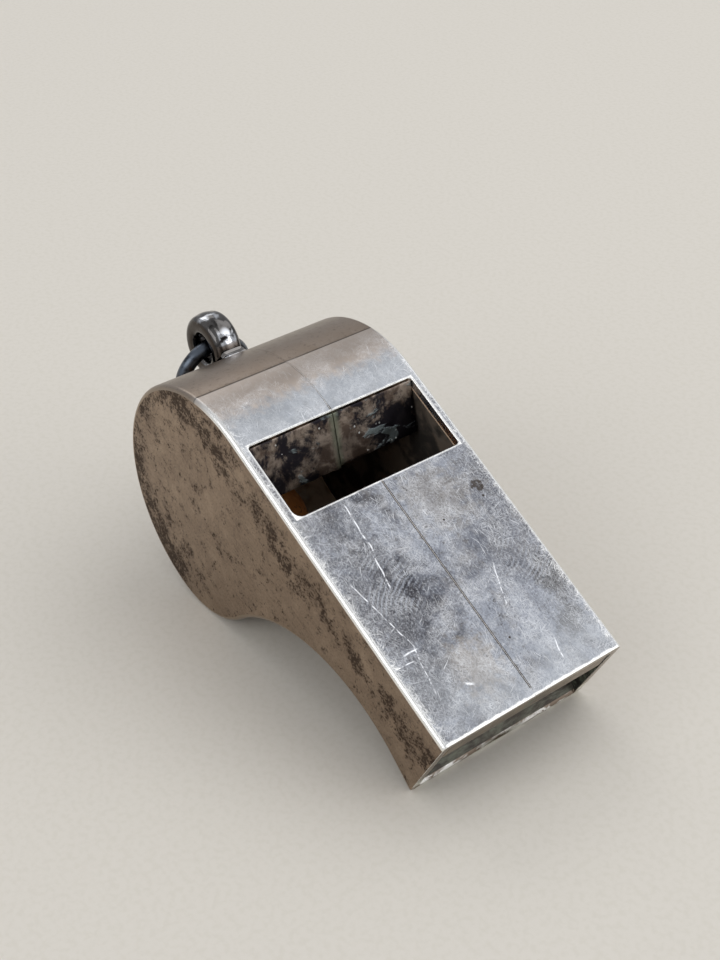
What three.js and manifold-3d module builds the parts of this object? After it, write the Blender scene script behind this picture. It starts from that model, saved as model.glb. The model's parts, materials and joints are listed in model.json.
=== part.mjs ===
// A pressed-metal pea whistle, resting on its barrel and its lower lip.
// X runs forward to the mouth, Y across the body to its right side, Z up. Millimetres.
import * as THREE from 'three';
import { mergeVertices } from 'three/addons/utils/BufferGeometryUtils.js';
import Module from 'manifold-3d';

// Body: two pressed halves that meet on the middle plane
const BODY_WIDTH = 20;
const SHEET = 0.9;
const EDGE_RADIUS = 0.35;
const BARREL_RADIUS = 12.4;
const BARREL_REACH = 32;
const TOE_RADIUS = 9.1;
const TOE_DEGREES = 86.6;
const THROAT_REACH = 7.4;
const THROAT_HEIGHT = 7.95;
const FLARE_DEGREES = 15;

// Window in the top plate, and the sloping ramp that rises to its back edge
const WINDOW_REACH = 23;
const WINDOW_LENGTH = 7.8;
const WINDOW_LEDGE = 0.1;
const RAMP_LENGTH = 5.3;
const RAMP_DEGREES = 50;
const RAMP_SHEET = 0.8;
const RAMP_SEAM = 0.1;

// Folded strip that lowers the roof of the windway
const ROOF_DEPTH = 3.4;
const ROOF_SHEET = 0.8;
const ROOF_SETBACK = 0.15;

// Lanyard loop on the back of the barrel, on a thin saddle
const LOOP_DEGREES = 82;
const LOOP_RADIUS = 3.25;
const LOOP_BORE_RADIUS = 1.45;
const LOOP_LENGTH = 2.9;
const LOOP_ROUNDING = 0.7;
const LOOP_SEAT = 1.8;
const SADDLE_LENGTH = 6.2;
const SADDLE_WIDTH = 2.6;
const SADDLE_THICKNESS = 0.3;

// Ring of round wire through the loop, cut once
const RING_RADIUS = 3.6;
const RING_WIRE_RADIUS = 0.7;
const RING_CUT = 0.3;
const RING_CUT_DEGREES = 115;

// Cork pea
const PEA_RADIUS = 5.3;
const PEA_OFFSET = -3.5;

// Clearances
const SOLDER_GAP = 0.2;
const REST_GAP = 0.3;

// How finely round shapes are divided
const ARC_DIVISIONS = 18;
const EDGE_SEGMENTS = 2;
const LOOP_SEGMENTS = 36;
const BARREL_SEGMENTS = 288;
const WIRE_SEGMENTS = 12;
const RING_STEPS = 48;
const PEA_SEGMENTS = 24;
const CUT_OVERRUN = 2;

const HALF_TURN = Math.PI;
const QUARTER_TURN = Math.PI / 2;
const { degToRad } = THREE.MathUtils;

const wasm = await Module();
wasm.setup();

const silver = { color: 0xa9a29a, roughness: 0.35, metalness: 1 };
const tarnishedSilver = { color: 0x8a8378, roughness: 0.45, metalness: 1 };
const darkSteel = { color: 0x5c626b, roughness: 0.3, metalness: 1 };
const cork = { color: 0xa8642f, roughness: 0.9, metalness: 0 };

// Closed geometry to a solid that can be joined and cut
function toSolid(geometry) {
  const bare = geometry.clone();
  bare.deleteAttribute('normal');
  bare.deleteAttribute('uv');
  const merged = mergeVertices(bare);
  return new wasm.Manifold(new wasm.Mesh({
    numProp: 3,
    vertProperties: new Float32Array(merged.getAttribute('position').array),
    triVerts: new Uint32Array(merged.getIndex().array),
  }));
}

// Solid back to a geometry
function toGeometry(solid) {
  const { vertProperties, triVerts } = solid.getMesh();
  const geometry = new THREE.BufferGeometry();
  geometry.setAttribute('position', new THREE.BufferAttribute(vertProperties, 3));
  geometry.setIndex(new THREE.BufferAttribute(triVerts, 1));
  geometry.computeVertexNormals();
  return geometry;
}

function piece(name, geometry, finish) {
  const mesh = new THREE.Mesh(geometry, new THREE.MeshStandardMaterial(finish));
  mesh.name = name;
  return mesh;
}

function polar(centre, radius, angle) {
  return new THREE.Vector2(
    centre.x + radius * Math.cos(angle),
    centre.y + radius * Math.sin(angle),
  );
}

// A side outline stands in X and Z. This spreads it along Y, from one side position to another.
function across(shape, fromY, toY) {
  const geometry = new THREE.ExtrudeGeometry(shape, {
    depth: toY - fromY,
    bevelEnabled: false,
    curveSegments: ARC_DIVISIONS,
  });
  geometry.rotateX(QUARTER_TURN);
  geometry.translate(0, toY, 0);
  return geometry;
}

function polygon(points) {
  return new THREE.Shape(points.map(([x, y]) => new THREE.Vector2(x, y)));
}

// Box by its lowest and highest corner
function blockBetween(low, high) {
  const size = high.map((value, axis) => value - low[axis]);
  const middle = high.map((value, axis) => (value + low[axis]) / 2);
  return new THREE.BoxGeometry(...size).translate(...middle);
}

// Side outline of the body, with the barrel axis at the origin and the top plate level.
// Barrel, toe and arch are three arcs that run into each other.
const barrelCentre = new THREE.Vector2(0, 0);
const toeAngle = -degToRad(TOE_DEGREES);
const toeCentre = polar(barrelCentre, BARREL_RADIUS - TOE_RADIUS, toeAngle);
const throat = new THREE.Vector2(BARREL_REACH - THROAT_REACH, BARREL_RADIUS - THROAT_HEIGHT);

// The arch has its top at the throat, and touches the toe from the outside
function findArchRadius() {
  const run = throat.clone().sub(toeCentre);
  return (run.lengthSq() - TOE_RADIUS ** 2) / (2 * (TOE_RADIUS + run.y));
}

const archRadius = findArchRadius();
const archCentre = new THREE.Vector2(throat.x, throat.y - archRadius);
const archStart = archCentre.clone().sub(toeCentre).angle();
const archEnd = QUARTER_TURN - degToRad(FLARE_DEGREES);

// The outline, or the same outline set in by a wall, up to the given mouth plane
function sideOutline(inset, mouthX) {
  const archReach = archRadius + inset;
  const flareStart = polar(archCentre, archReach, archEnd);
  const lipY = flareStart.y - (mouthX - flareStart.x) * Math.tan(degToRad(FLARE_DEGREES));
  const shape = new THREE.Shape();
  shape.moveTo(mouthX, BARREL_RADIUS - inset);
  shape.lineTo(0, BARREL_RADIUS - inset);
  shape.absarc(0, 0, BARREL_RADIUS - inset, QUARTER_TURN, toeAngle, false);
  shape.absarc(toeCentre.x, toeCentre.y, TOE_RADIUS - inset, toeAngle, archStart, false);
  shape.absarc(archCentre.x, archCentre.y, archReach, archStart - HALF_TURN, archEnd, true);
  shape.lineTo(mouthX, lipY);
  shape.closePath();
  return shape;
}

const bodyOutline = sideOutline(0, BARREL_REACH);
const halfWidth = BODY_WIDTH / 2;
const innerHalfWidth = halfWidth - SHEET;
const windowFront = BARREL_REACH - WINDOW_REACH;
const windowBack = windowFront - WINDOW_LENGTH;

// The whole body as one hollow, open at the mouth and at the window
function hollowBody() {
  const skin = new THREE.ExtrudeGeometry(bodyOutline, {
    depth: BODY_WIDTH - 2 * EDGE_RADIUS,
    bevelThickness: EDGE_RADIUS,
    bevelSize: EDGE_RADIUS,
    bevelOffset: -EDGE_RADIUS,
    bevelSegments: EDGE_SEGMENTS,
    curveSegments: ARC_DIVISIONS,
  });
  skin.rotateX(QUARTER_TURN);
  skin.translate(0, halfWidth - EDGE_RADIUS, 0);
  const hollow = across(sideOutline(SHEET, BARREL_REACH + CUT_OVERRUN), -innerHalfWidth, innerHalfWidth);
  const windowHalfWidth = innerHalfWidth - WINDOW_LEDGE;
  const windowCut = blockBetween(
    [windowBack, -windowHalfWidth, BARREL_RADIUS - SHEET - WINDOW_LEDGE],
    [windowFront, windowHalfWidth, BARREL_RADIUS + CUT_OVERRUN],
  );
  return toSolid(skin).subtract(toSolid(hollow)).subtract(toSolid(windowCut));
}

// One pressed half: what lies on one side of the middle plane
function halfShell(name, body, side) {
  const reach = BARREL_REACH + 2 * BARREL_RADIUS;
  const outer = side * BODY_WIDTH;
  const cutter = blockBetween(
    [-reach, Math.min(0, outer), -reach],
    [reach, Math.max(0, outer), reach],
  );
  return piece(name, toGeometry(body.intersect(toSolid(cutter))), silver);
}

// Half of the ramp: a strip that runs down and forward from the window's back edge
function labiumRamp(name, side) {
  const slope = degToRad(RAMP_DEGREES);
  const top = new THREE.Vector2(windowBack + SOLDER_GAP, BARREL_RADIUS);
  const edge = polar(top, RAMP_LENGTH, -slope);
  const underEdge = polar(edge, RAMP_SHEET, -slope - QUARTER_TURN);
  const section = polygon([
    [top.x, top.y],
    [top.x, top.y - RAMP_SHEET / Math.cos(slope)],
    [underEdge.x, underEdge.y],
    [edge.x, edge.y],
  ]);
  const inner = side * RAMP_SEAM / 2;
  const outer = side * (innerHalfWidth - SOLDER_GAP);
  return piece(name, across(section, Math.min(inner, outer), Math.max(inner, outer)), tarnishedSilver);
}

// Folded strip under the top plate: front lip, roof of the windway, and rear lip at the window
function windwayRoof() {
  const front = BARREL_REACH - ROOF_SETBACK;
  const rear = windowFront + SOLDER_GAP;
  const top = BARREL_RADIUS - SHEET - SOLDER_GAP;
  const under = BARREL_RADIUS - ROOF_DEPTH;
  const section = polygon([
    [front, top],
    [front - ROOF_SHEET, top],
    [front - ROOF_SHEET, under + ROOF_SHEET],
    [rear + ROOF_SHEET, under + ROOF_SHEET],
    [rear + ROOF_SHEET, top],
    [rear, top],
    [rear, under],
    [front, under],
  ]);
  const side = innerHalfWidth - SOLDER_GAP;
  return piece('windway_roof', across(section, -side, side), tarnishedSilver);
}

// The loop stands in its own frame: Z points away from the barrel axis, Y is the loop's axis
const saddleTop = BARREL_RADIUS + SOLDER_GAP + SADDLE_THICKNESS;
const loopHeight = saddleTop + SOLDER_GAP + LOOP_SEAT;

// Thin plate, hollowed to the barrel below and flat above
function loopSaddle() {
  const plate = blockBetween(
    [-SADDLE_LENGTH / 2, -SADDLE_WIDTH / 2, BARREL_RADIUS - SADDLE_THICKNESS],
    [SADDLE_LENGTH / 2, SADDLE_WIDTH / 2, saddleTop],
  );
  const barrel = new THREE.CylinderGeometry(
    BARREL_RADIUS + SOLDER_GAP,
    BARREL_RADIUS + SOLDER_GAP,
    BODY_WIDTH,
    BARREL_SEGMENTS,
  );
  return piece('loop_saddle', toGeometry(toSolid(plate).subtract(toSolid(barrel))), silver);
}

// Short tube with rounded rims, cut flat where it sits on the saddle
function lanyardLoop() {
  const end = LOOP_LENGTH / 2;
  const rim = LOOP_RADIUS - LOOP_ROUNDING;
  const profile = new THREE.Path();
  profile.moveTo(LOOP_BORE_RADIUS, -end);
  profile.lineTo(rim, -end);
  profile.absarc(rim, -end + LOOP_ROUNDING, LOOP_ROUNDING, -QUARTER_TURN, 0, false);
  profile.absarc(rim, end - LOOP_ROUNDING, LOOP_ROUNDING, 0, QUARTER_TURN, false);
  profile.lineTo(LOOP_BORE_RADIUS, end);
  profile.lineTo(LOOP_BORE_RADIUS, -end);
  const tube = new THREE.LatheGeometry(profile.getPoints(EDGE_SEGMENTS), LOOP_SEGMENTS);
  tube.translate(0, 0, loopHeight);
  const below = blockBetween(
    [-LOOP_RADIUS * 2, -LOOP_LENGTH, loopHeight - LOOP_RADIUS * 2],
    [LOOP_RADIUS * 2, LOOP_LENGTH, loopHeight - LOOP_SEAT],
  );
  return piece('lanyard_loop', toGeometry(toSolid(tube).subtract(toSolid(below))), silver);
}

// Round wire bent to a ring that hangs down from the loop's axis, with a narrow cut
class RingCurve extends THREE.Curve {
  getPoint(share) {
    const cutSpan = RING_CUT / RING_RADIUS;
    const angle = degToRad(RING_CUT_DEGREES) + cutSpan / 2 + share * (2 * HALF_TURN - cutSpan);
    return new THREE.Vector3(
      0,
      RING_RADIUS * Math.sin(angle),
      RING_RADIUS * Math.cos(angle) - RING_RADIUS,
    );
  }
}

function jumpRing() {
  const wire = new THREE.Shape().absarc(0, 0, RING_WIRE_RADIUS, 0, 2 * HALF_TURN, false);
  const geometry = new THREE.ExtrudeGeometry(wire, {
    extrudePath: new RingCurve(),
    steps: RING_STEPS,
    curveSegments: WIRE_SEGMENTS / 2,
  });
  return piece('jump_ring', geometry, darkSteel);
}

// The body tips forward until its lower lip and its toe both lie on the ground
function restTilt() {
  const outline = bodyOutline.getPoints(ARC_DIVISIONS);
  const lip = outline.filter((point) => point.x === BARREL_REACH).sort((a, b) => a.y - b.y)[0];
  const drops = outline
    .filter((point) => point.x < BARREL_REACH)
    .map((point) => Math.atan2(lip.y - point.y, lip.x - point.x));
  return Math.max(...drops);
}

const tilt = restTilt();

// The pea lies at the lowest place of the toe, close to the left cheek
function corkPea() {
  const sink = TOE_RADIUS - SHEET - REST_GAP - PEA_RADIUS;
  const pea = piece('cork_pea', new THREE.SphereGeometry(PEA_RADIUS, PEA_SEGMENTS, PEA_SEGMENTS), cork);
  pea.position.set(
    toeCentre.x + sink * Math.sin(tilt),
    PEA_OFFSET,
    toeCentre.y - sink * Math.cos(tilt),
  );
  return pea;
}

// Loop, saddle and ring at the back of the barrel. The ring leans on the barrel.
function loopGroup() {
  const group = new THREE.Group();
  group.rotation.y = -degToRad(LOOP_DEGREES);
  const ring = new THREE.Group();
  ring.position.z = loopHeight;
  ring.rotation.y = Math.asin((BARREL_RADIUS + RING_WIRE_RADIUS + REST_GAP) / loopHeight);
  ring.add(jumpRing());
  group.add(loopSaddle(), lanyardLoop(), ring);
  return group;
}

const whistle = new THREE.Group();
const body = hollowBody();
whistle.add(
  halfShell('left_half_shell', body, -1),
  halfShell('right_half_shell', body, 1),
  labiumRamp('left_labium_ramp', -1),
  labiumRamp('right_labium_ramp', 1),
  windwayRoof(),
  corkPea(),
  loopGroup(),
);
whistle.rotation.y = tilt;

// The origin lies on the ground, under the middle of the whole whistle
whistle.updateMatrixWorld(true);
const box = new THREE.Box3().setFromObject(whistle, true);
whistle.position.set(
  -(box.min.x + box.max.x) / 2,
  -(box.min.y + box.max.y) / 2,
  -box.min.z,
);
whistle.updateMatrixWorld(true);

export default whistle;
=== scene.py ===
"""Looks of a worn, plated pea whistle: pressed halves, labium, loop, ring and cork pea."""
import json
import logging
import math
from dataclasses import dataclass, field
from enum import Enum
from typing import Any, Iterable, Sequence

import bmesh
import bpy
from mathutils import Euler, Matrix, Vector, noise


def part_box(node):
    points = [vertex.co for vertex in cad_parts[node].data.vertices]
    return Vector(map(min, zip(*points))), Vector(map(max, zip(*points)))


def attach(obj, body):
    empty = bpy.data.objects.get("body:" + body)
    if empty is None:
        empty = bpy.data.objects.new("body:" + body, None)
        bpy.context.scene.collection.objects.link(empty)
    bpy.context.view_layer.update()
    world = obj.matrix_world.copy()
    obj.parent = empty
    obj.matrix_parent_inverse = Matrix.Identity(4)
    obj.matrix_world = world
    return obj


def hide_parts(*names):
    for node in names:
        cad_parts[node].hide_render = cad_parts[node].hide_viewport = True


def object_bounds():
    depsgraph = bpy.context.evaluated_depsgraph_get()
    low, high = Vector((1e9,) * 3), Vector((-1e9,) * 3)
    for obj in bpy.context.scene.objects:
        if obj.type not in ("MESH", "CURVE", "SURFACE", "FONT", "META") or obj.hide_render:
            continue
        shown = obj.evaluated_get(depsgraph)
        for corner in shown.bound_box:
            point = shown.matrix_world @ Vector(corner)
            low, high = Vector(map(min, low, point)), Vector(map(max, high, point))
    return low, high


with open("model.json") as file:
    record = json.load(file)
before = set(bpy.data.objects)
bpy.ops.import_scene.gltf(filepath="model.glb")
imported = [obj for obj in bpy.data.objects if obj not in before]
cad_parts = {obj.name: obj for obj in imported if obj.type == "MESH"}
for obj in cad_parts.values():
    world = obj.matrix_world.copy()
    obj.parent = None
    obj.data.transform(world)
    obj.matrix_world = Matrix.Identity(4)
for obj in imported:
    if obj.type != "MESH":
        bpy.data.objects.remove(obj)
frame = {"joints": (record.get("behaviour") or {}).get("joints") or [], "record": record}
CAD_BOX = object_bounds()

MM = 0.001
MM_PER_METRE = 1000.0
QUARTER_TURN = math.pi / 2
HALF_TURN = math.pi
FULL_TURN = 2 * math.pi

# Edges sharper than the first are rounded, and edges sharper than the second are shaded sharp
SHARP_DEGREES = 55.0
CREASE_DEGREES = 50.0
ROUNDING_FACETS = 2

# How near to the middle plane an edge of the seam lies, in millimetres
SEAM_REACH = 0.01

# Places of the mix node's sockets, for colours and for plain numbers
MIX_FACTOR, MIX_A, MIX_B, MIX_RESULT = 0, 6, 7, 2
NUMBER_A, NUMBER_B = 2, 3

log = logging.getLogger("whistle")

Socket = bpy.types.NodeSocket
Point = tuple[float, float]
Triple = tuple[float, float, float]


class Side(Enum):
    """Which pressed half, by its side of the middle plane."""

    LEFT = -1
    RIGHT = 1


class Zone(Enum):
    """Faces of a pressed half, in the order of its material slots."""

    BAND = 0
    CHEEK = 1
    INSIDE = 2


def linear(hex_code: str) -> tuple[float, float, float, float]:
    """Turns an sRGB hex colour to linear light.

    Args:
        hex_code: Six hex digits with a leading hash.

    Returns:
        Red, green, blue and alpha.
    """
    shares = [int(hex_code[i:i + 2], 16) / 255 for i in (1, 3, 5)]
    red, green, blue = (
        c / 12.92 if c <= 0.04045 else ((c + 0.055) / 1.055) ** 2.4 for c in shares
    )
    return red, green, blue, 1.0


def polar(centre: Point, radius: float, angle: float) -> Point:
    """A point at an angle round a centre.

    Args:
        centre: Middle of the circle.
        radius: Its radius.
        angle: Radians from forward, turning up.

    Returns:
        The point.
    """
    return centre[0] + radius * math.cos(angle), centre[1] + radius * math.sin(angle)


def sweep(start: float, end: float, count: int) -> list[float]:
    """Evenly spaced values from start to end.

    Args:
        start: First value.
        end: Last value.
        count: Number of steps between them.

    Returns:
        count + 1 values.
    """
    return [start + (end - start) * i / count for i in range(count + 1)]


def joint_place(name: str) -> Vector:
    """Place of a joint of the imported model, in metres."""
    return Vector(next(j["pos_m"] for j in frame["joints"] if j["name"] == name))


def mount_axis(name: str) -> Vector:
    """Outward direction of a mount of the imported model."""
    return Vector(next(m["axis"] for m in frame["record"]["mounts"] if m["name"] == name))


@dataclass(frozen=True)
class BodyFrame:
    """The body's own axes: forward along the top plate, across, and up from the barrel axis."""

    axis: Vector
    tilt: float

    def place(self, forward: float, side: float, up: float) -> Vector:
        """A point of the body's own axes in the row frame.

        Args:
            forward: Millimetres forward of the barrel axis.
            side: Millimetres to the right of the middle plane.
            up: Millimetres above the barrel axis, square to the top plate.

        Returns:
            The point in metres.
        """
        cos, sin = math.cos(self.tilt), math.sin(self.tilt)
        across = Vector((forward * cos + up * sin, side, up * cos - forward * sin))
        return self.axis + across * MM


PLATE_NORMAL = mount_axis("top_plate")
BODY = BodyFrame(joint_place("pea_roll"), math.atan2(PLATE_NORMAL.x, PLATE_NORMAL.z))


class Graph:
    """A material and its node tree, built one node at a time."""

    def __init__(self, name: str) -> None:
        """Starts an empty tree.

        Args:
            name: The material's name.
        """
        self.material = bpy.data.materials.new(name)
        self.material.use_nodes = True
        self.tree = self.material.node_tree
        self.tree.nodes.clear()

    def add(
        self,
        kind: str,
        inputs: dict[str | int, Any] | None = None,
        output: str | int = 0,
        **settings: Any,
    ) -> "Value":
        """Adds a node with its settings, values and links.

        Args:
            kind: Node type without its ShaderNode prefix.
            inputs: Socket name or place, to a constant or to the value that feeds it.
            output: Name or place of the output that is handed back.
            **settings: Attributes of the node.

        Returns:
            The chosen output, or the node's first input where it has no output.
        """
        node = self.tree.nodes.new("ShaderNode" + kind)
        for key, setting in settings.items():
            setattr(node, key, setting)
        for key, given in (inputs or {}).items():
            if isinstance(given, Value):
                self.tree.links.new(given.socket, node.inputs[key])
            else:
                node.inputs[key].default_value = given
        return Value(self, node.outputs[output] if node.outputs else node.inputs[0])

    def lay(self, base: "str | Value", *coats: tuple["str | Value", "Value"]) -> "Value":
        """Lays coats of colour over a base, the last one on top.

        Args:
            base: Hex colour, or a colour that is laid already.
            *coats: Pairs of such a colour and the share that a point gets of it.

        Returns:
            The colour that shows.
        """
        shown = linear(base) if isinstance(base, str) else base
        for tone, share in coats:
            over = linear(tone) if isinstance(tone, str) else tone
            sockets = {MIX_FACTOR: share, MIX_A: shown, MIX_B: over}
            shown = self.add("Mix", sockets, MIX_RESULT, data_type="RGBA")
        return shown

    def finish(self, normal: "Value | None" = None, **sockets: Any) -> bpy.types.Material:
        """Ends the tree in one surface shader.

        Args:
            normal: Bumped normal, if the surface has one.
            **sockets: Shader inputs, with underscores for spaces.

        Returns:
            The material.
        """
        inputs = {key.replace("_", " "): given for key, given in sockets.items()}
        if normal is not None:
            inputs["Normal"] = normal
        shader = self.add("BsdfPrincipled", inputs)
        self.add("OutputMaterial", {"Surface": shader})
        return self.material


@dataclass(frozen=True)
class Value:
    """What a socket gives at a point of the surface, open to plain arithmetic."""

    graph: Graph
    socket: Socket

    def join(self, operation: str, *others: "Value | float") -> "Value":
        """Chains one arithmetic operation over this value and others.

        Args:
            operation: Name of the operation, such as MAXIMUM.
            *others: Numbers or values, taken from left to right. SINE and the like need none.

        Returns:
            The last result.
        """
        if not others:
            return self.graph.add("Math", {0: self}, operation=operation)
        total = self
        for other in others:
            total = self.graph.add("Math", {0: total, 1: other}, operation=operation)
        return total

    def __add__(self, other: "Value | float") -> "Value":
        """The sum."""
        return self.join("ADD", other)

    def __sub__(self, other: "Value | float") -> "Value":
        """The difference."""
        return self.join("SUBTRACT", other)

    def __mul__(self, other: "Value | float") -> "Value":
        """The product."""
        return self.join("MULTIPLY", other)

    def __abs__(self) -> "Value":
        """The size, without its sign."""
        return self.join("ABSOLUTE")

    def fade(self, zero: float, one: float) -> "Value":
        """A share that changes smoothly between two values of what is measured.

        Args:
            zero: Where the share is 0, and beyond.
            one: Where it is 1, and beyond. It may lie on either side of zero.

        Returns:
            The share.
        """
        ends = (zero, one, 0.0, 1.0) if zero < one else (one, zero, 1.0, 0.0)
        sockets = {place: end for place, end in enumerate(ends, start=1)}
        return self.graph.add("MapRange", {0: self, **sockets}, interpolation_type="SMOOTHSTEP")

    def distance(self, spot: Point) -> "Value":
        """How far a place on a flat surface lies from a spot on it."""
        ends = {0: self, 1: (*spot, 0.0)}
        return self.graph.add("VectorMath", ends, "Value", operation="DISTANCE")

    def parts(self) -> tuple["Value", ...]:
        """The three parts of a vector."""
        node = self.graph.add("SeparateXYZ", {0: self}).socket.node
        return tuple(Value(self.graph, output) for output in node.outputs)


def own_place(graph: Graph) -> Value:
    """Place of a point in millimetres, along the axes of the piece itself."""
    here = graph.add("TexCoord", output="Object")
    return graph.add("VectorMath", {0: here, "Scale": MM_PER_METRE}, operation="SCALE")


@dataclass(frozen=True)
class Grain:
    """Cloudy variation of a real size, which is the width of a cloud in millimetres.

    Detail is the number of finer layers and grit their strength. Warp pulls the clouds about,
    shift moves the whole pattern, and stretch makes it finer or coarser along each axis.
    """

    size: float
    detail: float = 3.0
    warp: float = 0.0
    grit: float = 0.5
    shift: Triple | None = None
    stretch: Triple | None = None

    def on(self, where: Value) -> Value:
        """Draws the pattern.

        Args:
            where: Place in millimetres.

        Returns:
            A value round one half.
        """
        graph = where.graph
        if self.shift is not None:
            where = graph.add("VectorMath", {0: where, 1: self.shift})
        if self.stretch is not None:
            where = graph.add("VectorMath", {0: where, 1: self.stretch}, operation="MULTIPLY")
        layers = {"Detail": self.detail, "Distortion": self.warp, "Roughness": self.grit}
        return graph.add("TexNoise", {"Vector": where, "Scale": 1 / self.size, **layers})


@dataclass(frozen=True)
class SurfacePlace:
    """Where a point lies on the body, in millimetres, and which way it faces."""

    spot: Value
    forward: Value
    side: Value
    up: Value
    faces_forward: Value
    faces_side: Value

    @staticmethod
    def levelled(way: Value) -> Value:
        """Turns a vector to the body's own axes."""
        sockets = {"Vector": way, "Angle": -BODY.tilt}
        return way.graph.add("VectorRotate", sockets, rotation_type="Y_AXIS")

    @classmethod
    def on_body(cls, graph: Graph) -> "SurfacePlace":
        """Reads the body's own axes from the mesh.

        Args:
            graph: Tree that the values belong to.

        Returns:
            The place and the facing.
        """
        here = graph.add("TexCoord", output="Object")
        moved = graph.add("VectorMath", {0: here, 1: tuple(BODY.axis)}, operation="SUBTRACT")
        scaled = {0: cls.levelled(moved), "Scale": MM_PER_METRE}
        spot = graph.add("VectorMath", scaled, operation="SCALE")
        forward, side, up = spot.parts()
        facing = cls.levelled(graph.add("TexCoord", output="Normal"))
        faces_forward, faces_side, _ = facing.parts()
        return cls(spot, forward, side, up, faces_forward, abs(faces_side))


@dataclass(frozen=True)
class Scratches:
    """A family of scratches: size in millimetres, directions, and how many and how strong."""

    length: float
    width: float
    degrees: tuple[float, ...]
    least: float
    most: float
    layer_step: float = 3.7

    def draw(self, along: Value) -> Value:
        """Draws the family as stretched grain, one layer for each direction.

        Args:
            along: Place on the unrolled band, in millimetres.

        Returns:
            How scratched a point is.
        """
        graph = along.graph
        stretch = (1 / self.length, 1 / self.width, 1.0)
        layers = []
        for index, degrees in enumerate(self.degrees):
            turn = {"Vector": along, "Angle": math.radians(degrees)}
            turned = graph.add("VectorRotate", turn, rotation_type="Z_AXIS")
            lift = (0.0, 0.0, self.layer_step * index)
            drawn = {0: turned, 1: stretch, 2: lift}
            lines = Grain(1.0, 2.0).on(graph.add("VectorMath", drawn, operation="MULTIPLY_ADD"))
            layers.append(lines.fade(self.least, self.most))
        return layers[0].join("MAXIMUM", *layers[1:])


@dataclass(frozen=True)
class Stroke:
    """One deep scratch on the unrolled band, from its start to its end. Millimetres."""

    start: Point
    end: Point
    width: float = 0.09
    core_share: float = 0.2
    fades_beyond: float = 0.1
    fades_within: float = 0.4

    def draw(self, along: Value) -> Value:
        """Draws the scratch with tapered ends.

        Args:
            along: Place on the unrolled band.

        Returns:
            How scratched a point is.
        """
        graph = along.graph
        run = Vector(self.end) - Vector(self.start)
        moved = graph.add("VectorMath", {0: along, 1: (*self.start, 0.0)}, operation="SUBTRACT")
        turn = {"Vector": moved, "Angle": -math.atan2(run.y, run.x)}
        ahead, aside, _ = graph.add("VectorRotate", turn, rotation_type="Z_AXIS").parts()
        starts = ahead.fade(-self.fades_beyond, self.fades_within)
        ends = ahead.fade(run.length + self.fades_beyond, run.length - self.fades_within)
        return abs(aside).fade(self.width, self.width * self.core_share) * starts * ends


@dataclass(frozen=True)
class FingerMark:
    """Curved ridges that a finger left in the tarnish. Millimetres."""

    middle: Point
    ridge_centre: Point
    radius: float
    ridge: float = 0.42
    core_share: float = 0.35
    patches: Grain = Grain(1.6, 4.0)

    def draw(self, band: "BandPlace") -> tuple[Value, Value]:
        """Draws the mark.

        Args:
            band: Place on the band.

        Returns:
            How much of the mark a point has, and how far up a ridge it lies.
        """
        turns = band.bent.distance(self.ridge_centre) * (FULL_TURN / self.ridge)
        near = band.bent.distance(self.middle).fade(self.radius, self.radius * self.core_share)
        inside = near * self.patches.on(band.flat).fade(0.36, 0.58)
        return inside, turns.join("SINE").fade(-0.3, 0.9) * inside


@dataclass(frozen=True)
class BandPlace:
    """Where a point lies on the band when it is rolled out flat, and how worn the band is there.

    Crumbs is a grain that ragged borders share, chips is the same about zero, and breaks is a
    share with long gaps across the whistle.
    """

    along: Value
    flat: Value
    bent: Value
    aside: Value
    crumbs: Value
    chips: Value
    breaks: Value

    @classmethod
    def on_band(cls, place: SurfacePlace, bend: float, bends_per_mm: float) -> "BandPlace":
        """Rolls the barrel out behind the top plate.

        Args:
            place: Place on the body.
            bend: Millimetres by which scratches stray from straight lines.
            bends_per_mm: How often they stray.

        Returns:
            The place on the band.
        """
        graph = place.spot.graph
        turn = (place.forward * -1.0).join("ARCTAN2", place.up)
        rolled = abs(turn) * -SideOutline.barrel_radius
        ahead = place.forward.join("GREATER_THAN", 0.0)
        on_plate = ahead * place.up.join("GREATER_THAN", SideOutline.barrel_radius / 2)
        choice = {MIX_FACTOR: on_plate, NUMBER_A: rolled, NUMBER_B: place.forward}
        along = graph.add("Mix", choice, data_type="FLOAT")
        flat = graph.add("CombineXYZ", {0: along, 1: place.side, 2: 0.0})
        swings = {"Vector": flat, "Scale": bends_per_mm, "Detail": 2.0}
        stray = {0: graph.add("TexNoise", swings, "Color"), "Scale": bend}
        bent = {0: flat, 1: graph.add("VectorMath", stray, operation="SCALE")}
        crumbs = Grain(0.8, 5.0, grit=0.6).on(place.spot)
        breaks = Grain(0.8, 4.0, 0.4, 0.6, stretch=(1.0, 0.3, 1.0)).on(place.spot)
        return cls(
            along=along,
            flat=flat,
            bent=graph.add("VectorMath", bent),
            aside=abs(place.side),
            crumbs=crumbs,
            chips=crumbs - 0.5,
            breaks=breaks.fade(0.42, 0.52),
        )


@dataclass(frozen=True)
class Blot:
    """One patch of tarnish on the unrolled band, ragged at its rim. Millimetres."""

    middle: Point
    radius: float
    tone: str
    strength: float

    def share(self, band: BandPlace) -> Value:
        """How much of the patch's tone a point gets."""
        near = band.flat.distance(self.middle).fade(self.radius, 0.0) * 0.5
        return (near + band.crumbs).fade(0.6, 0.9) * self.strength


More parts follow.
